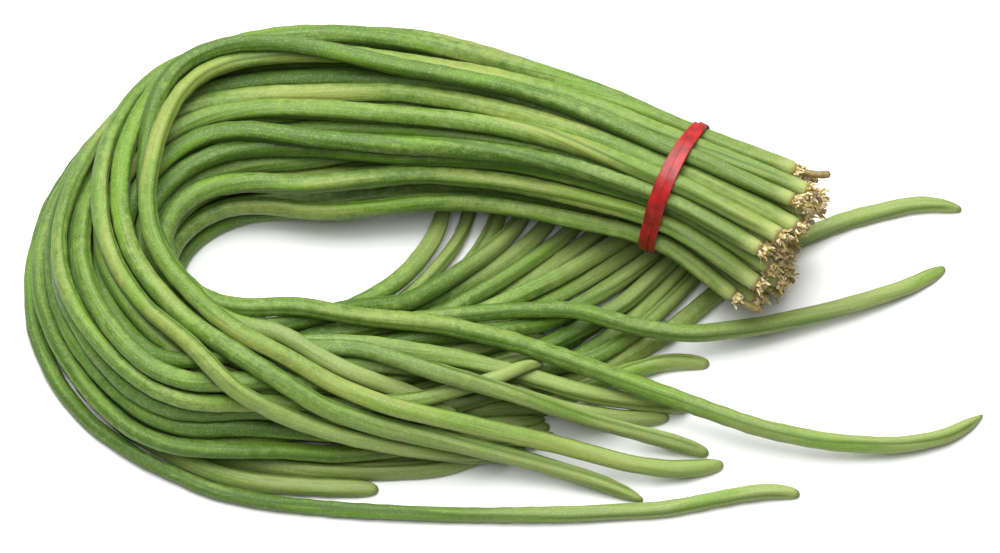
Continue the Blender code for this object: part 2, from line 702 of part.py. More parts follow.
def main():
    """Build the whole bunch."""
    for old in list(bpy.data.objects):
        bpy.data.objects.remove(old)
    collection = bpy.data.collections.new(COLLECTION)
    bpy.context.scene.collection.children.link(collection)
    laid, girths, names = lay_out_pods()
    draw = random.Random(TONE_SEED)
    for points, radii, name in zip(laid, girths, names):
        pod = make_pod(f"pod_{name}", points, radii, collection)
        tone = 1.0 + draw.uniform(-TONE_SPREAD, TONE_SPREAD)
        colour = [tone * channel for channel in POD_GREEN]
        pod.data.materials.append(make_material(f"green_{name}", colour, 0.5))
    band = make_band(laid, girths, collection)
    band.data.materials.append(make_material("red_rubber", BAND_RED, 0.45))
    centre_on_origin(collection)


main()
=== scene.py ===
import math
import random

import bmesh
import bpy
import numpy as np
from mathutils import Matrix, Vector

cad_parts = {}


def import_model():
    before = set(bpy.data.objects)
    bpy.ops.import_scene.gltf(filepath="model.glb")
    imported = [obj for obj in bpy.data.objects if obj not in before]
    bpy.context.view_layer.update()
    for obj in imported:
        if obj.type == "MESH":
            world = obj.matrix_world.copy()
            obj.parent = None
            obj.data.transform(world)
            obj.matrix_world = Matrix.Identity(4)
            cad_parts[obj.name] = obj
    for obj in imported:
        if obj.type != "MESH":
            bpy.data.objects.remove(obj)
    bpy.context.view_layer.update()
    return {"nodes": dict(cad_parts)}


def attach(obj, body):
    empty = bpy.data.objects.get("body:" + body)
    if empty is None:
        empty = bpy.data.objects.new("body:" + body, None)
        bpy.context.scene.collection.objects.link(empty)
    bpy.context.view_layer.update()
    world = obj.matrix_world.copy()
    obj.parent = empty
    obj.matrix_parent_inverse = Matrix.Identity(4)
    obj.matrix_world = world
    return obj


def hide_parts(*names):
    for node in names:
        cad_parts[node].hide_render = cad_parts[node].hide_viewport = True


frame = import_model()
print("frame loaded:", len(frame["nodes"]), "nodes")

nodeSpacing = 200             # between nodes in the node editor


class Wire:
    # a socket of a node tree; an expression on it adds Math nodes

    def __init__(self, tree, socket):
        self.tree = tree
        self.socket = socket

    def output(self, key):
        # another output of the same node
        return Wire(self.tree, self.socket.node.outputs[key])

    def math(self, operation, *others):
        values = dict(enumerate([self, *others]))
        return self.tree.add("ShaderNodeMath", {"operation": operation}, values)

    def __add__(self, other):
        return self.math("ADD", other)

    def __sub__(self, other):
        return self.math("SUBTRACT", other)

    def __mul__(self, other):
        return self.math("MULTIPLY", other)

    def __truediv__(self, other):
        return self.math("DIVIDE", other)

    def __pow__(self, other):
        return self.math("POWER", other)

    def __lt__(self, other):
        return self.math("LESS_THAN", other)

    def __rsub__(self, other):
        return self.tree.add("ShaderNodeMath", {"operation": "SUBTRACT"}, {0: other, 1: self})

    __radd__ = __add__
    __rmul__ = __mul__


class Tree:
    # adds nodes to a shader or geometry tree: type, settings first, then values or links

    def __init__(self, nodeTree):
        self.nodeTree = nodeTree

    def feed(self, socket, value):
        if isinstance(value, Wire):
            self.nodeTree.links.new(value.socket, socket)
        else:
            socket.default_value = value

    def add(self, kind, settings=None, values=None, out=0):
        node = self.nodeTree.nodes.new(kind)
        node.location = (nodeSpacing * len(self.nodeTree.nodes), 0)
        for name, value in (settings or {}).items():
            setattr(node, name, value)
        for key, value in (values or {}).items():
            self.feed(node.inputs[key], value)
        return Wire(self, node.outputs[out])

    def ramp(self, value, start, end):
        # 0 at start and 1 at end, smooth between
        values = {"Value": value, "From Min": start, "From Max": end}
        return self.add("ShaderNodeMapRange", {"interpolation_type": "SMOOTHSTEP"}, values)

    def vector(self, operation, *others):
        return self.add("ShaderNodeVectorMath", {"operation": operation}, dict(enumerate(others)))

    def scaled(self, vector, factor):
        values = {0: vector, "Scale": factor}
        return self.add("ShaderNodeVectorMath", {"operation": "SCALE"}, values)

    def combine(self, x, y, z):
        return self.add("ShaderNodeCombineXYZ", None, {"X": x, "Y": y, "Z": z})

    def noise(self, vector, scale, detail=2.0, roughness=0.5, out=0):
        values = {"Vector": vector, "Scale": scale, "Detail": detail, "Roughness": roughness}
        return self.add("ShaderNodeTexNoise", None, values, out)

    def join(self, *parts):
        node = self.nodeTree.nodes.new("GeometryNodeJoinGeometry")
        for part in reversed(parts):
            self.nodeTree.links.new(part.socket, node.inputs["Geometry"])
        return Wire(self, node.outputs[0])

    def mix(self, factor, first, second):
        # colours go through Mix; sockets 6 and 7 are its two colours, output 2 its result
        return self.add("ShaderNodeMix", {"data_type": "RGBA"}, {0: factor, 6: first, 7: second}, out=2)


def colour(red, green, blue):
    # display values from 0 to 255 as a linear colour
    def linear(value):
        value /= 255
        return value / 12.92 if value <= 0.04045 else ((value + 0.055) / 1.055) ** 2.4
    return (linear(red), linear(green), linear(blue), 1.0)


def newGeometryTree(name, inputs):
    # a Geometry Nodes tree with one geometry in and out and the named inputs
    nodeTree = bpy.data.node_groups.new(name, "GeometryNodeTree")
    nodeTree.interface.new_socket("Geometry", in_out="INPUT", socket_type="NodeSocketGeometry")
    nodeTree.interface.new_socket("Geometry", in_out="OUTPUT", socket_type="NodeSocketGeometry")
    for label, (kind, value) in inputs.items():
        socket = nodeTree.interface.new_socket(label, in_out="INPUT", socket_type="NodeSocket" + kind)
        if value is not None:
            socket.default_value = value
    return nodeTree


def applyTree(source, nodeTree, values, name):
    # the tree's result on an object, as a plain mesh object; the source object goes
    modifier = source.modifiers.new("shape", "NODES")
    modifier.node_group = nodeTree
    for socket in nodeTree.interface.items_tree:
        if socket.in_out == "INPUT" and socket.name in values:
            modifier[socket.identifier] = values[socket.name]
    evaluated = source.evaluated_get(bpy.context.evaluated_depsgraph_get())
    mesh = bpy.data.meshes.new_from_object(evaluated)
    source.modifiers.remove(modifier)
    bpy.data.objects.remove(source)
    mesh.name = name
    piece = bpy.data.objects.new(name, mesh)
    bpy.context.scene.collection.objects.link(piece)
    return piece


podLine = {
    "corners": 6,                 # of a ring of the plain solid
    "merge": 1e-6,                # corners closer than this are one
    "endRingReach": 0.003,        # the corners of an end ring lie this close together
    "step": 0.001,                # spacing while a line is smoothed
    "smoothing": 0.006,           # bends are eased over this length
    "bellReach": 3,               # and the weights end at this many times it
    "bodyRing": 0.0022,           # spacing of the rings along the body
    "endRing": 0.0005,            # and close to both ends
    "stemFine": 0.012,            # over this length at the stem
    "tipFine": 0.010,             # and this at the tip
    "fullness": 1.05,             # girth of a pod against its plain solid
}


def stepsFrom(start, neighbours):
    # how many edges away from the first corners each corner lies
    level = {corner: 0 for corner in start}
    queue = list(start)
    for corner in queue:
        for other in neighbours[corner]:
            if other not in level:
                level[other] = level[corner] + 1
                queue.append(other)
    return level


def endRing(points, neighbours):
    # one end ring of a tube: the corners close to the one furthest from any corner
    level = stepsFrom([0], neighbours)
    end = max(level, key=level.get)
    distance = np.linalg.norm(points - points[end], axis=1)
    return [int(k) for k in np.nonzero(distance < podLine["endRingReach"])[0]]


def readPod(node):
    # centre points and radii of the rings of a pod's solid, from its stem end to its tip
    work = bmesh.new()
    work.from_mesh(node.data)
    bmesh.ops.remove_doubles(work, verts=work.verts, dist=podLine["merge"])
    work.verts.ensure_lookup_table()
    points = np.array([vertex.co for vertex in work.verts])
    neighbours = {v.index: [edge.other_vert(v).index for edge in v.link_edges] for v in work.verts}
    work.free()
    level = stepsFrom(endRing(points, neighbours), neighbours)
    count = max(level.values()) + 1
    rings = [[corner for corner in level if level[corner] == k] for k in range(count)]
    assert all(len(ring) == podLine["corners"] for ring in rings), node.name
    centres = np.array([points[ring].mean(axis=0) for ring in rings])
    radii = np.array([np.linalg.norm(points[ring] - centre, axis=1).mean()
                      for ring, centre in zip(rings, centres)])
    spacing = np.linalg.norm(np.diff(centres, axis=0), axis=1)
    # the rings are closer together at the stem end
    if spacing[0] < spacing[-1]:
        return centres, radii
    return centres[::-1], radii[::-1]


def lengthsAlong(line):
    return np.concatenate([[0.0], np.cumsum(np.linalg.norm(np.diff(line, axis=0), axis=1))])


def readLine(line, along, places):
    return np.stack([np.interp(places, along, line[:, axis]) for axis in range(3)], axis=1)


def easeLine(line, reach, step):
    # moving average with a bell-shaped weight; both ends stay where they are
    half = int(podLine["bellReach"] * reach / step)
    weight = np.exp(-0.5 * (np.arange(-half, half + 1) * step / reach) ** 2)
    weight /= weight.sum()
    before = 2 * line[0] - line[half:0:-1]
    after = 2 * line[-1] - line[-2:-half - 2:-1]
    padded = np.vstack([before, line, after])
    eased = [np.convolve(padded[:, axis], weight, mode="valid") for axis in range(3)]
    return np.stack(eased, axis=1)


def ringPlaces(total):
    # where the rings of a pod lie along it: close together at both ends
    stem = np.arange(0.0, podLine["stemFine"], podLine["endRing"])
    tip = np.arange(total, total - podLine["tipFine"], -podLine["endRing"])[::-1]
    count = int((tip[0] - podLine["stemFine"]) / podLine["bodyRing"]) + 1
    body = np.linspace(podLine["stemFine"], tip[0], count, endpoint=False)
    return np.concatenate([stem, body, tip])


podEnds = {
    # radius at distances from the stem end: dry stub, cap, neck
    "stemPlaces": [0.0, 0.0004, 0.0028, 0.0036, 0.0043, 0.0050, 0.0060, 0.0085, 0.0140, 0.0240],
    "stemRadii": [0.0006, 0.0010, 0.0011, 0.0015, 0.0024, 0.0029, 0.00305, 0.0032, 0.0034, 0.0035],
    # least radius there of a stub that sticks out
    "stubRadii": [0.0008, 0.0014, 0.0013, 0.0016, 0.0024, 0.0029, 0.0, 0.0, 0.0, 0.0],
    "stubTop": 2,                 # so many of the places lie on the stub's end
    "longStub": 0.005,            # a stub sticks out when it is longer by more than this
    # stubs that are longer than the others, and by how much
    "longer": {"pod_over_second": 0.010, "pod_cross_outer": 0.002, "pod_sweep_01": 0.008},
    # share of the girth at distances from the tip, for a blunt and for a beaked tip
    "tipPlaces": [0.0, 0.0003, 0.0010, 0.0022, 0.0042, 0.0080, 0.0160, 0.0450, 0.1100],
    "bluntTip": [0.05, 0.27, 0.47, 0.63, 0.76, 0.86, 0.93, 0.97, 1.00],
    "beakedTip": [0.03, 0.13, 0.19, 0.27, 0.42, 0.62, 0.80, 0.93, 1.00],
    # how beaked a tip is, from 0 to 1; the others' are drawn by chance
    "beaked": {"pod_far": 1.0, "pod_middle_first": 0.0, "pod_front_of_head": 0.35,
               "pod_behind_head": 0.5, "pod_edge": 0.0, "pod_over_first": 0.1,
               "pod_over_second": 0.7, "pod_over_pair": 0.0, "pod_front_short": 0.1,
               "pod_short_edge": 0.0, "pod_middle_second": 0.1, "pod_cross_inner": 0.6},
    "mostBeaked": 0.8,
    # tails that end in a thick last seed, and how much thicker they are there
    "thickSeed": {"pod_over_first": 0.12, "pod_over_pair": 0.16, "pod_middle_first": 0.12,
                  "pod_edge": 0.08},
    "thickAt": 0.016,             # distance of that seed from the tip
    "thickReach": 0.014,
    "slimmer": 0.03,              # share that a pod is slimmer near the stem
    "slimUntil": [0.06, 0.2],
}


def podRadii(girths, places, total, beak, swell, longer):
    # radius of a pod at each of its rings
    girth = np.median(girths) * podLine["fullness"]
    fromTip = total - places
    tip = (1 - beak) * np.interp(fromTip, podEnds["tipPlaces"], podEnds["bluntTip"])
    tip += beak * np.interp(fromTip, podEnds["tipPlaces"], podEnds["beakedTip"])
    tip *= 1 + swell * np.exp(-((fromTip - podEnds["thickAt"]) / podEnds["thickReach"]) ** 2)
    slim = podEnds["slimmer"] * np.interp(places, podEnds["slimUntil"], [1.0, 0.0])
    body = girth * tip * (1 - slim)
    stemPlaces = np.array(podEnds["stemPlaces"])
    stemRadii = podEnds["stemRadii"]
    capPlaces = stemPlaces + longer * (np.arange(len(stemPlaces)) >= podEnds["stubTop"])
    capRadii = np.maximum(stemRadii, np.array(podEnds["stubRadii"]) * (longer > podEnds["longStub"]))
    stem = np.interp(places, capPlaces, capRadii) * body[np.searchsorted(places, capPlaces[-1])]
    return np.where(places < capPlaces[-1], stem / stemRadii[-1], body)


stubLean = {
    "length": 0.0065,             # the stub bends over this length
    "from": 12,                   # its own direction is read at this ring
    "least": 0.0004,              # how far its end leans aside
    "most": 0.0016,
    "power": 1.6,
    "hook": (0.2, 0.5, 1.0),      # where a long stub hooks to
    "hookShare": 0.22,            # of its extra length
    "hookPower": 110,
}


def bendStub(line, places, draw, longer):
    # the dry stub leans its own way, and a long one hooks upwards
    lean = Vector((draw.uniform(-1, 1), draw.uniform(-1, 1), draw.uniform(-1, 1)))
    if longer > podEnds["longStub"]:
        lean = Vector(stubLean["hook"])
    ahead = Vector(line[0] - line[stubLean["from"]]).normalized()
    side = (lean - ahead * lean.dot(ahead)).normalized()
    amount = draw.uniform(stubLean["least"], stubLean["most"]) + longer * stubLean["hookShare"]
    power = stubLean["power"] + longer * stubLean["hookPower"]
    share = np.clip(1 - places / (stubLean["length"] + longer), 0, 1) ** power
    return line + share[:, None] * amount * np.array(side)


stubParts = {
    "place": 0.0041,              # from the stem end
    # thin blades: length, width, thickness, how far they bend, and how much they narrow
    "sepal": {"width": 0.0009, "thickness": 0.00028, "bend": 0.0006, "taper": 0.75},
    "fibre": {"length": 0.0058, "width": 0.00011, "thickness": 0.00011, "bend": 0.0012, "taper": 0.6},
    "bladeSides": 6,
    "bladeSteps": 6,
    "root": -0.0004,              # a blade starts below its place
    "curl": -1.2,                 # its end bends back by this share
    # crowns: radius, how far the blades lean out, and a number for their own chance
    "sepalCrown": {"radius": 0.0019, "spread": 1.1, "chance": 1},
    "fibreCrown": {"radius": 0.0010, "spread": 2.2, "chance": 11},
    "moved": ((-0.0005, -0.0005, -0.0006), (0.0005, 0.0005, 0.0007)),
    "leastSpread": (-0.3, -0.3, 0.0),
    "bladeSize": ((0.6, 0.6, 0.55), (1.3, 1.3, 1.35)),
    # crumbs: radius, where they lie, and their size
    "crumb": 0.00055,
    "crumbPlaces": ((-0.0023, -0.0023, -0.0004), (0.0023, 0.0023, 0.0027)),
    "crumbSize": ((0.5, 0.5, 0.5), (1.7, 1.5, 1.5)),
    "crumbChance": (21, 31),
    "roughness": 0.0011,          # how far everything is crumpled
    "roughScale": 900.0,
    "chances": 1000,              # a pod's phase gives one of so many
}


def stubRemains(tree, asked, curve):
    # what is left of the flower round the dry stub: sepals, crumbs and thin fibres
    spot = tree.add("GeometryNodeSampleCurve", {"mode": "LENGTH"},
                    {"Curves": curve, "Length": asked("Stub") + stubParts["place"]}, out="Position")
    outwards = tree.scaled(spot.output("Tangent"), -1.0)
    facing = tree.add("FunctionNodeAlignRotationToVector", {"axis": "Z"}, {"Vector": outwards})
    seed = (asked("Phase") * stubParts["chances"]).math("FLOOR")

    def scattered(low, high, chance):
        values = {"Min": low, "Max": high, "Seed": seed + chance}
        return tree.add("FunctionNodeRandomValue", {"data_type": "FLOAT_VECTOR"}, values)

    def blade(length, width, thickness, bend, taper):
        # a thin bent blade along Z
        path = tree.add("GeometryNodeCurveQuadraticBezier", None, {
            "Resolution": stubParts["bladeSteps"],
            "Start": (0, 0, stubParts["root"]),
            "Middle": tree.combine(bend, 0.0, length * 0.5),
            "End": tree.combine(bend * stubParts["curl"], 0.0, length)})
        share = tree.add("GeometryNodeSplineParameter")
        side = tree.add("GeometryNodeCurvePrimitiveCircle", None,
                        {"Resolution": stubParts["bladeSides"], "Radius": 1.0})
        flat = tree.combine(width, thickness, 1.0)
        side = tree.add("GeometryNodeTransform", None, {"Geometry": side, "Scale": flat})
        return tree.add("GeometryNodeCurveToMesh", None, {
            "Curve": path, "Profile Curve": side, "Scale": 1 - share * taper, "Fill Caps": True})

    def crown(count, instance, radius, spread, chance):
        # blades round the stub, leaning outwards by chance
        ring = tree.add("GeometryNodeMeshCircle", None, {"Vertices": count, "Radius": radius})
        moved = scattered(*stubParts["moved"], chance)
        ring = tree.add("GeometryNodeSetPosition", None, {"Geometry": ring, "Offset": moved})
        place = tree.add("GeometryNodeInputPosition")
        spreads = scattered(stubParts["leastSpread"], (spread, spread, 0.0), chance + 1)
        leaning = tree.vector("MULTIPLY", tree.vector("NORMALIZE", place), spreads)
        upright = tree.vector("ADD", leaning, (0.0, 0.0, 1.0))
        turned = tree.add("FunctionNodeAlignRotationToVector", {"axis": "Z"}, {"Vector": upright})
        size = scattered(*stubParts["bladeSize"], chance + 2)
        return tree.add("GeometryNodeInstanceOnPoints", None, {
            "Points": ring, "Instance": instance, "Rotation": turned, "Scale": size})

    sepal = blade(asked("Sepal Length"), **stubParts["sepal"])
    sepals = crown(asked("Sepals"), sepal, **stubParts["sepalCrown"])
    fibres = crown(asked("Fibres"), blade(**stubParts["fibre"]), **stubParts["fibreCrown"])
    grain = tree.add("GeometryNodeMeshIcoSphere", None,
                     {"Radius": stubParts["crumb"], "Subdivisions": 1})
    placeChance, sizeChance = stubParts["crumbChance"]
    spots = tree.add("GeometryNodePoints", None, {
        "Count": asked("Crumbs"), "Position": scattered(*stubParts["crumbPlaces"], placeChance)})
    crumbs = tree.add("GeometryNodeInstanceOnPoints", None, {
        "Points": spots, "Instance": grain, "Rotation": facing,
        "Scale": scattered(*stubParts["crumbSize"], sizeChance)})
    values = {"Geometry": tree.join(sepals, fibres, crumbs), "Translation": spot, "Rotation": facing}
    placed = tree.add("GeometryNodeTransform", None, values)
    placed = tree.add("GeometryNodeRealizeInstances", None, {"Geometry": placed})
    position = tree.add("GeometryNodeInputPosition")
    rough = tree.noise(position, stubParts["roughScale"], detail=1.0, out="Color")
    rough = tree.vector("SUBTRACT", rough, (0.5, 0.5, 0.5))
    rough = tree.vector("MULTIPLY", rough, (stubParts["roughness"],) * 3)
    return tree.add("GeometryNodeSetPosition", None, {"Geometry": placed, "Offset": rough})


podShape = {
    "Sides": 24,
    "Seed Spacing": 0.0115,
    "Seed Swelling": 0.065,       # share of the radius that a seed adds
    "Unevenness": 0.08,           # share that the girth wanders slowly
    "Suture Depth": 0.00030,
    "Suture Width": 0.26,         # radians
    "Ridges": 0.00040,            # long soft ridges of slightly wilted skin
    "Flatness": 0.06,             # how far the section is from round
    "Twist": 8.0,                 # radians a metre
    "Sepals": 7,
    "Sepal Length": 0.0040,
    "Crumbs": 24,
    "Fibres": 7,
}
wholeNumbers = ("Sides", "Sepals", "Crumbs", "Fibres")
podRelief = {
    "phaseShift": 7,              # how far apart two pods' patterns lie
    "wanderScale": 14.0,          # repeats a metre of the slow unevenness
    "wanderGain": 2,
    "driftScale": 60.0,           # the seeds aren't evenly spaced
    "drift": 0.9,
    "seedPower": 1.5,             # how short a seed's swelling is
    "seedMiddle": 0.4,
    "seedPatchScale": 22.0,       # they show only in places
    "seedPatches": (0.35, 0.65),
    "seedsFromStem": (0.022, 0.045),
    "seedsFromTip": (0.006, 0.022),
    "twistScale": 3.0,
    "twistWander": 1.2,
    "paleFrom": 0.02,             # paler all over nearer to the tip than this
    "grownFromStem": (0.006, 0.020),
    "grownFromTip": (0.001, 0.010),
    "otherSeam": 1.3,             # the second seam is narrower by this
    "lipsAt": 2.2,                # low lips run beside the first seam
    "lips": 0.35,
    "meanRadius": 0.0034,
    "ridgeStretch": 16,
    "ridgeShift": 40,
    "ridgeScale": 1.5,
    "ridgeGain": 3,
    "withered": 0.9,              # the ridges are this much higher near the stem
    "witheredTo": (0.03, 0.16),
    "dryTo": (0.0035, 0.0060),    # the dry stub's wrinkles end here
    "wrinkleStretch": 700,
    "wrinkleScale": 1.3,
    "wrinkles": 0.0014,
    "least": (-10.0, -10.0, 0.00005),             # of x, y and z: nothing sinks into the surface
    "paleTail": {"seen": 0.20, "hidden": 0.08},   # how far the paler colour reaches
    "tone": (0.15, 0.7),          # lowest tone of a pod, and the range above it
}


def podGirth(tree, asked, along, fromTip):
    # girth along a pod: a swelling at each seed, and slow unevenness
    place = tree.combine(along, asked("Phase") * podRelief["phaseShift"], 0.0)
    wander = tree.noise(place, podRelief["wanderScale"]) - 0.5
    drift = tree.noise(place, podRelief["driftScale"]) - 0.5
    wave = along / asked("Seed Spacing") + asked("Phase") + drift * podRelief["drift"]
    seed = ((wave * math.tau).math("COSINE") * 0.5 + 0.5) ** podRelief["seedPower"]
    inBody = tree.ramp(along, *podRelief["seedsFromStem"])
    inBody = inBody * tree.ramp(fromTip, *podRelief["seedsFromTip"])
    patches = tree.ramp(tree.noise(place, podRelief["seedPatchScale"]), *podRelief["seedPatches"])
    swelling = (seed - podRelief["seedMiddle"]) * asked("Seed Swelling") * patches
    return 1 + inBody * (swelling + wander * asked("Unevenness") * podRelief["wanderGain"])


def podTurn(tree, asked, along):
    # how far the section is turned: a slow twist of the pod's own
    place = tree.combine(along, asked("Phase") * podRelief["phaseShift"], 0.0)
    wander = (tree.noise(place, podRelief["twistScale"]) - 0.5) * asked("Twist")
    turn = asked("Phase") * math.tau + wander * podRelief["twistWander"]
    return turn + along * asked("Twist") * (asked("Phase") - 0.5)


def podSurface(tree, asked, angle, fromStem, fromTip):
    # how far the skin stands out, and where the seams are
    grown = tree.ramp(fromStem, *podRelief["grownFromStem"])
    grown = grown * tree.ramp(fromTip, *podRelief["grownFromTip"])
    fold = angle.math("PINGPONG", math.pi)
    fromSeam = fold / asked("Suture Width")
    fromOther = (math.pi - fold) / asked("Suture Width") * podRelief["otherSeam"]
    groove = (-1 * fromSeam * fromSeam).math("EXPONENT") + (-1 * fromOther * fromOther).math("EXPONENT")
    fromLip = fromSeam - podRelief["lipsAt"]
    lips = (fromLip * fromLip * -1).math("EXPONENT") * podRelief["lips"]
    flat = (angle * 2).math("COSINE") * asked("Flatness") * podRelief["meanRadius"]
    cosine = angle.math("COSINE")
    sine = angle.math("SINE")
    lengthwise = fromStem * podRelief["ridgeStretch"] + asked("Phase") * podRelief["ridgeShift"]
    ridge = tree.noise(tree.combine(cosine, sine, lengthwise), podRelief["ridgeScale"], detail=1.0)
    withered = 1 + (1 - tree.ramp(fromStem, *podRelief["witheredTo"])) * podRelief["withered"]
    ridges = (ridge - 0.5) * asked("Ridges") * podRelief["ridgeGain"] * withered
    dry = 1 - tree.ramp(fromStem, *podRelief["dryTo"])
    crumpled = tree.combine(sine, cosine, fromStem * podRelief["wrinkleStretch"])
    wrinkle = tree.noise(crumpled, podRelief["wrinkleScale"]) - 0.5
    push = (lips - groove) * asked("Suture Depth") * grown + (flat + ridges) * grown
    return push + wrinkle * dry * podRelief["wrinkles"], groove * grown


def podTree():
    # from a pod's middle line with radii to its finished mesh
    inputs = {label: ("Int" if label in wholeNumbers else "Float", value)
              for label, value in podShape.items()}
    for label in ("Phase", "Tone", "Stub", "Tail"):
        inputs[label] = ("Float", 0.0)
    inputs["Material"] = ("Material", None)
    nodeTree = newGeometryTree("bean pod", inputs)
    tree = Tree(nodeTree)
    given = tree.add("NodeGroupInput")

    def asked(label):
        return given.output(label)

    def stored(geometry, name, value, kind="FLOAT"):
        values = {"Geometry": geometry, "Name": name, "Value": value}
        return tree.add("GeometryNodeStoreNamedAttribute", {"data_type": kind}, values)

    def named(name):
        return tree.add("GeometryNodeInputNamedAttribute", {"data_type": "FLOAT"}, {"Name": name})

    along = tree.add("GeometryNodeSplineParameter", out="Length") - asked("Stub")
    fromTip = tree.add("GeometryNodeSplineLength") - asked("Stub") - along
    turn = podTurn(tree, asked, along)
    curve = tree.add("GeometryNodeSetCurveTilt", None, {"Curve": asked("Geometry"), "Tilt": turn})
    curve = stored(curve, "fromStem", along)
    curve = stored(curve, "fromTip", fromTip)
    pale = 1 - tree.ramp(fromTip, podRelief["paleFrom"], asked("Tail"))
    curve = stored(curve, "paleTail", pale)
    # section: nearly round, with a groove along each seam
    ring = tree.add("GeometryNodeCurvePrimitiveCircle", None,
                    {"Resolution": asked("Sides"), "Radius": 1.0})
    ring = stored(ring, "angle", tree.add("GeometryNodeSplineParameter") * math.tau)
    girth = tree.add("GeometryNodeInputRadius") * podGirth(tree, asked, along, fromTip)
    body = tree.add("GeometryNodeCurveToMesh", None, {
        "Curve": curve, "Profile Curve": ring, "Scale": girth, "Fill Caps": True})
    angle = named("angle")
    fromStem = named("fromStem")
    push, suture = podSurface(tree, asked, angle, fromStem, named("fromTip"))
    shift = tree.scaled(tree.add("GeometryNodeInputNormal"), push)
    body = tree.add("GeometryNodeSetPosition", None, {"Geometry": body, "Offset": shift})
    # what would sink into the surface lies flat on it
    position = tree.add("GeometryNodeInputPosition")
    above = tree.vector("MAXIMUM", position, podRelief["least"])
    body = tree.add("GeometryNodeSetPosition", None, {"Geometry": body, "Position": above})
    around = tree.combine(angle.math("COSINE"), angle.math("SINE"), fromStem)
    body = stored(body, "podPlace", around, "FLOAT_VECTOR")
    body = stored(body, "suture", suture)
    remains = stubRemains(tree, asked, curve)
    remains = stored(remains, "podPlace", (1.0, 0.0, 0.0), "FLOAT_VECTOR")
    remains = stored(remains, "fromTip", 1.0)
    body = stored(tree.join(body, remains), "tone", asked("Tone"))
    body = tree.add("GeometryNodeSetShadeSmooth", None, {"Geometry": body, "Shade Smooth": True})
    body = tree.add("GeometryNodeRealizeInstances", None, {"Geometry": body})
    body = tree.add("GeometryNodeSetMaterial", None, {"Geometry": body, "Material": asked("Material")})
    last = nodeTree.nodes.new("NodeGroupOutput")
    nodeTree.links.new(body.socket, last.inputs["Geometry"])
    return nodeTree


def podCurve(name, line, radii):
    curve = bpy.data.curves.new(name, "CURVE")
    curve.dimensions = "3D"
    curve.twist_mode = "MINIMUM"
    spline = curve.splines.new("POLY")
    spline.points.add(len(line) - 1)
    spline.points.foreach_set("co", np.c_[line, np.ones(len(line))].ravel())
    spline.points.foreach_set("radius", radii)
    piece = bpy.data.objects.new(name, curve)
    bpy.context.scene.collection.objects.link(piece)
    return piece


podColours = {
    "deep": colour(68, 100, 20),
    "fresh": colour(98, 129, 40),
    "pale": colour(130, 150, 74),
    "yellow": colour(140, 146, 60),
    "vivid": colour(100, 138, 20),
    "suture": colour(56, 88, 12),
    "bloom": colour(190, 200, 164),
    "tail": colour(154, 168, 98),
    "neck": colour(120, 135, 66),
    "cut": colour(170, 178, 108),
    "stub": colour(98, 80, 38),
    "dryLight": colour(226, 208, 166),
    "dryOlive": colour(182, 166, 98),
    "dryDark": colour(146, 98, 54),
    "tip": colour(96, 88, 44),
}
podPatterns = {
    # repeats round a pod, twice, and in a metre along it
    "streaks": (3.4, 3.4, 24.0),
    "lines": (9.0, 9.0, 40.0),
    "mottle": (1.1, 1.1, 260.0),
    "patches": (0.35, 0.35, 16.0),
    "scars": (1.6, 1.6, 330.0),
    "toneShift": (13, 29, 5),     # the patterns of two tones lie apart by this
    "vividShift": (7.3, 1.9, 4.1),
    "vividScale": 1.3,
    # repeats a metre
    "bloom": 1150.0,
    "grain": 620.0,
    "cloud": 330.0,
}
podMixes = {
    # how much each pattern and the pod's own tone count in a layer of colour, and in the bumps
    "fresh": {"streaks": 0.6, "mottle": 0.4, "tone": 0.3},
    "pale": {"mottle": 0.5, "patches": 0.5, "tone": 0.2},
    "yellow": {"patches": 1.0, "tone": 0.4},
    "bumps": {"streaks": 0.9, "lines": 0.5, "mottle": 0.35, "grain": 1.0},
}
podLayers = {
    # where a layer of colour starts, where it is full, and its share there
    "fresh": (0.34, 0.66, 1.0),
    "pale": (0.44, 0.70, 0.8),
    "yellow": (0.56, 0.82, 0.5),
    "vivid": (0.54, 0.70, 0.65),
    "bloom": (0.48, 0.70, 0.16),
    "lines": (0.52, 0.72, 0.35),
    "dryLight": (0.42, 0.58, 1.0),
    "dryDark": (0.53, 0.64, 0.85),
    "scars": (0.73, 0.80, 0.5),
    # the same for layers that end at a distance from the stem end or the tip
    "neck": (0.01, 0.13, 0.40),
    "cut": (0.005, 0.015, 0.6),
    "dry": (0.0042, 0.0066, 1.0),
    "dull": (0.005, 0.010, 1.0),
    "tip": (0.0003, 0.0030, 0.7),
    "seam": 0.75,                 # share of the seams' own colour
    "tail": (0.35, 0.6),          # share of the tail's colour, and how far patches change it
    "stub": (0.5, 0.5),           # share of the stub's own colour, and how far clouds change it
    "torn": (0.006, 0.004),       # how far grain moves the ends of "cut" and "dry"
    "onStub": 0.95,               # what hangs round the stub has 1 as its distance from the tip
}
podSkin = {
    "roughness": 0.50,
    "dullerSpots": (0.3, 0.7, 0.14),
    "dryRoughness": 0.25,
    "specular": 0.38,
    "sheen": 0.04,
    "sheenRoughness": 0.4,
    "bumpStrength": 0.45,
    "bumpHeight": 0.0005,
}


def newMaterial(name):
    material = bpy.data.materials.new(name)
    material.use_nodes = True
    shader = material.node_tree.nodes["Principled BSDF"]
    return material, Tree(material.node_tree), shader


def feedShader(tree, shader, sockets):
    for name, value in sockets.items():
        tree.feed(shader.inputs[name], value)


def mixed(parts, name):
    # patterns added up in their shares
    shares = [parts[part] * share for part, share in podMixes[name].items()]
    return sum(shares[1:], shares[0])


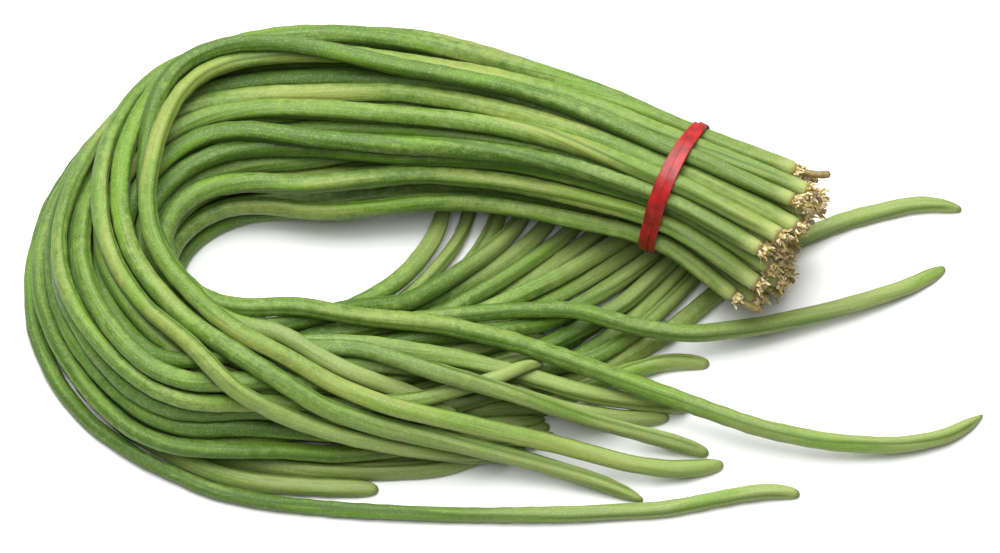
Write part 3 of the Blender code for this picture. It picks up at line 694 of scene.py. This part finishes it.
def podMaterial():
    material, tree, shader = newMaterial("green pod skin")

    def read(name, out="Fac"):
        return tree.add("ShaderNodeAttribute", {"attribute_name": name}, out=out)

    def pattern(name, detail, roughness=0.5):
        # noise stretched along the pod
        place = tree.vector("MULTIPLY", shifted, podPatterns[name])
        return tree.noise(place, 1.0, detail, roughness)

    def past(value, layer):
        start, end, share = podLayers[layer]
        return tree.ramp(value, start, end) * share

    def before(value, layer):
        start, end, share = podLayers[layer]
        return (1 - tree.ramp(value, start, end)) * share

    tone = read("tone")
    fromStem = read("fromStem")
    fromTip = read("fromTip")
    toneShift = tree.combine(*[tone * shift for shift in podPatterns["toneShift"]])
    shifted = tree.vector("ADD", read("podPlace", out="Vector"), toneShift)
    place = tree.add("ShaderNodeTexCoord", out="Object")
    grain = tree.noise(place, podPatterns["grain"], 3.0, 0.7)
    dull = before(fromStem, "dull")
    parts = {
        "streaks": pattern("streaks", 3.0, 0.65),
        "lines": pattern("lines", 1.0),
        "mottle": pattern("mottle", 3.0, 0.65),
        "patches": pattern("patches", 1.0),
        "tone": tone - 0.5,
        "grain": grain * dull,
    }
    # green, from deep to fresh in streaks
    skin = tree.mix(past(mixed(parts, "fresh"), "fresh"), podColours["deep"], podColours["fresh"])
    # paler and greyer towards the tip
    least, more = podLayers["tail"]
    skin = tree.mix(read("paleTail") * (least + parts["patches"] * more), skin, podColours["tail"])
    skin = tree.mix(past(mixed(parts, "pale"), "pale"), skin, podColours["pale"])
    skin = tree.mix(past(mixed(parts, "yellow"), "yellow"), skin, podColours["yellow"])
    vividPlace = tree.vector("MULTIPLY", shifted, podPatterns["patches"])
    vividPlace = tree.vector("ADD", vividPlace, podPatterns["vividShift"])
    vivid = tree.noise(vividPlace, podPatterns["vividScale"])
    skin = tree.mix(past(vivid, "vivid"), skin, podColours["vivid"])
    # fine bloom all over
    bloom = tree.noise(place, podPatterns["bloom"], roughness=0.6)
    skin = tree.mix(past(bloom, "bloom"), skin, podColours["bloom"])
    # duller towards the stem, with thin dark lines and the seams over it
    skin = tree.mix(before(fromStem, "neck"), skin, podColours["neck"])
    skin = tree.mix(past(parts["lines"], "lines"), skin, podColours["suture"])
    skin = tree.mix(read("suture") * podLayers["seam"], skin, podColours["suture"])
    # the cut end of the body is pale, the stub and what hangs round it are dry
    cloud = tree.noise(place, podPatterns["cloud"], 1.0)
    dryness = tree.mix(past(cloud, "dryLight"), podColours["dryOlive"], podColours["dryLight"])
    dryness = tree.mix(past(grain, "dryDark"), dryness, podColours["dryDark"])
    tornCut, tornDry = podLayers["torn"]
    skin = tree.mix(before(fromStem + (grain - 0.5) * tornCut, "cut"), skin, podColours["cut"])
    least, more = podLayers["stub"]
    onStub = fromTip < podLayers["onStub"]
    dryness = tree.mix(onStub * (least + cloud * more), dryness, podColours["stub"])
    skin = tree.mix(before(fromStem + (grain - 0.5) * tornDry, "dry"), skin, dryness)
    skin = tree.mix(before(fromTip, "tip"), skin, podColours["tip"])
    # small brown scars
    skin = tree.mix(past(pattern("scars", 2.0), "scars"), skin, podColours["tip"])
    bumps = tree.add("ShaderNodeBump", None, {
        "Strength": podSkin["bumpStrength"], "Distance": podSkin["bumpHeight"],
        "Height": mixed(parts, "bumps")})
    start, end, share = podSkin["dullerSpots"]
    spots = tree.ramp(parts["mottle"], start, end) * share
    feedShader(tree, shader, {
        "Base Color": skin,
        "Roughness": podSkin["roughness"] + spots + dull * podSkin["dryRoughness"],
        "Normal": bumps,
        "Specular IOR Level": podSkin["specular"],
        "Sheen Weight": podSkin["sheen"],
        "Sheen Roughness": podSkin["sheenRoughness"],
    })
    return material


def makePod(name, tree, material, draw):
    # one pod along the middle line of its plain solid
    centres, girths = readPod(frame["nodes"][name])
    along = lengthsAlong(centres)
    step = podLine["step"]
    dense = readLine(centres, along, np.arange(0.0, along[-1], step))
    dense = easeLine(np.vstack([dense, centres[-1]]), podLine["smoothing"], step)
    total = lengthsAlong(dense)[-1]
    places = ringPlaces(total)
    longer = podEnds["longer"].get(name, 0.0)
    line = readLine(dense, lengthsAlong(dense), places)
    line = bendStub(line, places, draw, longer)
    beak = podEnds["beaked"].get(name, draw.uniform(0.0, podEnds["mostBeaked"]))
    swell = podEnds["thickSeed"].get(name, 0.0)
    source = podCurve(name + "_line", line, podRadii(girths, places, total, beak, swell, longer))
    hidden = name.startswith(("pod_sweep", "pod_under"))
    lowest, above = podRelief["tone"]
    values = dict(podShape)
    values["Tone"] = lowest + above * draw.random()
    values["Phase"] = draw.random()
    values["Stub"] = longer
    values["Tail"] = podRelief["paleTail"]["hidden" if hidden else "seen"]
    values["Material"] = material
    return applyTree(source, tree, values, "bean_" + name)


podDraw = random.Random(11)
podSkinMaterial = podMaterial()
podNodeTree = podTree()
for name in sorted(name for name in frame["nodes"] if name.startswith("pod_")):
    piece = makePod(name, podNodeTree, podSkinMaterial, podDraw)
    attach(piece, "root")
    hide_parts(name)
print("pods built")


bandShape = {
    "thickness": 0.0008,          # of one turn of the flat rubber
    "width": 0.0039,
    "rounding": 0.00034,
    "cornerSteps": 4,
    "inset": 0.0010,              # the middle of both turns lies this deep in the plain solid
    "apart": 0.00180,             # half the distance between the turns where they lie side by side
    "lift": 0.00044,              # and above each other where they cross
    "crossing": 3,                # how short the crossing is
    "sideBySide": 35.0,           # degrees: where round the bunch that is, up from the front
    "steps": 360,                 # rings of the two turns
    "outline": 40,                # places at which the plain solid's outline is read
    "wave": 0.00025,              # how unevenly the rubber runs
    "waves": ((0.6, 3, 1.0), (0.4, 2.5, 0.0)),    # share of each wave, its count and start
}
bandLooks = {
    "deep": colour(126, 10, 12),
    "light": colour(170, 24, 22),
    "lightFrom": (0.3, 0.7),
    "cloud": 230.0,               # repeats a metre
    "grain": 1800.0,
    "roughness": 0.38,
    "grainRoughness": 0.15,
    "specular": 0.5,
    "bumpStrength": 0.2,
    "bumpHeight": 0.0002,
    "grainHeight": 0.4,
}


def bandRing(node):
    # middle, axis and directions of the held bundle, and the reach of its outline all round
    points = np.unique(np.round([vertex.co for vertex in node.data.vertices], 6), axis=0)
    middle = points.mean(axis=0)
    axis = np.linalg.svd(points - middle)[2][2]
    front = np.cross(axis, (0.0, 0.0, 1.0))
    front /= np.linalg.norm(front)
    if front[1] > 0:
        front = -front
    up = np.cross(front, axis)
    if up[2] < 0:
        up = -up
    flat = (points - middle) @ np.stack([front, up]).T
    angle = np.arctan2(flat[:, 1], flat[:, 0])
    reach = np.linalg.norm(flat, axis=1)
    bins = np.linspace(-math.pi, math.pi, bandShape["outline"] + 1)
    spots = []
    for low, high in zip(bins[:-1], bins[1:]):
        inside = (angle >= low) & (angle < high)
        if inside.any():
            outer = np.argmax(np.where(inside, reach, 0.0))
            spots.append((angle[outer], reach[outer]))
    spots = np.array(sorted(spots))
    return middle, axis, front, up, spots


def stripSection():
    # corners of the flat rubber's section with round edges, anticlockwise
    rounding = bandShape["rounding"]
    across = bandShape["width"] / 2 - rounding
    up = bandShape["thickness"] / 2 - rounding
    steps = bandShape["cornerSteps"]
    corners = []
    for side, level, start in ((1, 1, 0), (-1, 1, 90), (-1, -1, 180), (1, -1, 270)):
        for step in range(steps + 1):
            turn = math.radians(start + step * 90 / steps)
            corners.append((side * across + rounding * math.cos(turn),
                            level * up + rounding * math.sin(turn)))
    return corners


def makeBand(node):
    # one strip that goes round twice, with its turns side by side in front
    middle, axis, front, up, spots = bandRing(node)
    section = stripSection()
    start = math.radians(bandShape["sideBySide"])
    work = bmesh.new()
    rings = []
    for step in range(bandShape["steps"]):
        half = 2 * math.pi * step / bandShape["steps"]
        turn = 2 * half           # the strip goes round twice
        angle = math.atan2(math.sin(turn + start), math.cos(turn + start))
        reach = np.interp(angle, spots[:, 0], spots[:, 1], period=2 * math.pi) - bandShape["inset"]
        reach += bandShape["lift"] * math.tanh(bandShape["crossing"] * math.sin(half))
        wave = sum(share * math.sin(count * turn + begin) for share, count, begin in bandShape["waves"])
        shift = bandShape["apart"] * math.cos(half) + bandShape["wave"] * wave
        outward = front * math.cos(angle) + up * math.sin(angle)
        centre = middle + outward * reach + axis * shift
        rings.append([work.verts.new(centre + axis * x + outward * y) for x, y in section])
    for ring, following in zip(rings, rings[1:] + rings[:1]):
        for k in range(len(section)):
            after = (k + 1) % len(section)
            work.faces.new((ring[k], ring[after], following[after], following[k]))
    bmesh.ops.recalc_face_normals(work, faces=work.faces)
    mesh = bpy.data.meshes.new("rubber_band_turns")
    work.to_mesh(mesh)
    work.free()
    mesh.shade_smooth()
    band = bpy.data.objects.new("rubber_band_turns", mesh)
    bpy.context.scene.collection.objects.link(band)
    return band


def rubberMaterial():
    material, tree, shader = newMaterial("red rubber")
    place = tree.add("ShaderNodeTexCoord", out="Object")
    cloud = tree.noise(place, bandLooks["cloud"], detail=3.0)
    grain = tree.noise(place, bandLooks["grain"])
    red = tree.mix(tree.ramp(cloud, *bandLooks["lightFrom"]), bandLooks["deep"], bandLooks["light"])
    bumps = tree.add("ShaderNodeBump", None, {
        "Strength": bandLooks["bumpStrength"], "Distance": bandLooks["bumpHeight"],
        "Height": grain * bandLooks["grainHeight"] + cloud})
    feedShader(tree, shader, {
        "Base Color": red,
        "Roughness": bandLooks["roughness"] + grain * bandLooks["grainRoughness"],
        "Normal": bumps,
        "Specular IOR Level": bandLooks["specular"],
    })
    return material


band = makeBand(frame["nodes"]["rubber_band"])
band.data.materials.append(rubberMaterial())
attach(band, "root")
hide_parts("rubber_band")
print("band built")


stage = {
    "floorSize": 6.0,
    "floorColour": (0.86, 0.86, 0.86, 1.0),
    "floorRoughness": 0.9,
    "skyColour": (1.0, 1.0, 1.0, 1.0),
    "skyStrength": 0.06,
    "keyPower": 52.0,
    "keySize": 1.7,
    "keyPlace": (-0.15, 0.55, 1.45),
    "fillPower": 17.0,
    "fillSize": 1.0,
    "fillPlace": (-0.1, -0.45, 1.6),
}
view = {
    "elevation": 60.0,            # degrees above the surface
    "distance": 2.592,
    "lens": 224.0,
    "aim": (-0.0005, 0.0033, 0.0),
    "nearest": 0.01,
}


def areaLight(name, place, power, size):
    light = bpy.data.lights.new(name, "AREA")
    light.energy = power
    light.size = size
    lamp = bpy.data.objects.new(name, light)
    lamp.location = place
    lamp.rotation_euler = (-Vector(place)).to_track_quat("-Z", "Y").to_euler()
    bpy.context.scene.collection.objects.link(lamp)


def makeFloor():
    mesh = bpy.data.meshes.new("floor")
    half = stage["floorSize"] / 2
    corners = [(-half, -half, 0), (half, -half, 0), (half, half, 0), (-half, half, 0)]
    mesh.from_pydata(corners, [], [(0, 1, 2, 3)])
    floor = bpy.data.objects.new("floor", mesh)
    bpy.context.scene.collection.objects.link(floor)
    material, tree, shader = newMaterial("pale floor")
    feedShader(tree, shader, {"Base Color": stage["floorColour"], "Roughness": stage["floorRoughness"]})
    mesh.materials.append(material)


def makeWorld():
    world = bpy.data.worlds.new("studio")
    world.use_nodes = True
    background = world.node_tree.nodes["Background"]
    background.inputs["Color"].default_value = stage["skyColour"]
    background.inputs["Strength"].default_value = stage["skyStrength"]
    bpy.context.scene.world = world


def makeCamera():
    camera = bpy.data.cameras.new("camera")
    camera.lens = view["lens"]
    camera.dof.use_dof = False
    camera.clip_start = view["nearest"]
    eye = bpy.data.objects.new("camera", camera)
    angle = math.radians(view["elevation"])
    aim = Vector(view["aim"])
    eye.location = aim + view["distance"] * Vector((0.0, -math.cos(angle), math.sin(angle)))
    eye.rotation_euler = (math.pi / 2 - angle, 0.0, 0.0)
    bpy.context.scene.collection.objects.link(eye)
    bpy.context.scene.camera = eye


makeFloor()
makeWorld()
areaLight("key", stage["keyPlace"], stage["keyPower"], stage["keySize"])
areaLight("fill", stage["fillPlace"], stage["fillPower"], stage["fillSize"])
makeCamera()
bpy.context.scene.view_settings.view_transform = "Standard"
print("stage set")
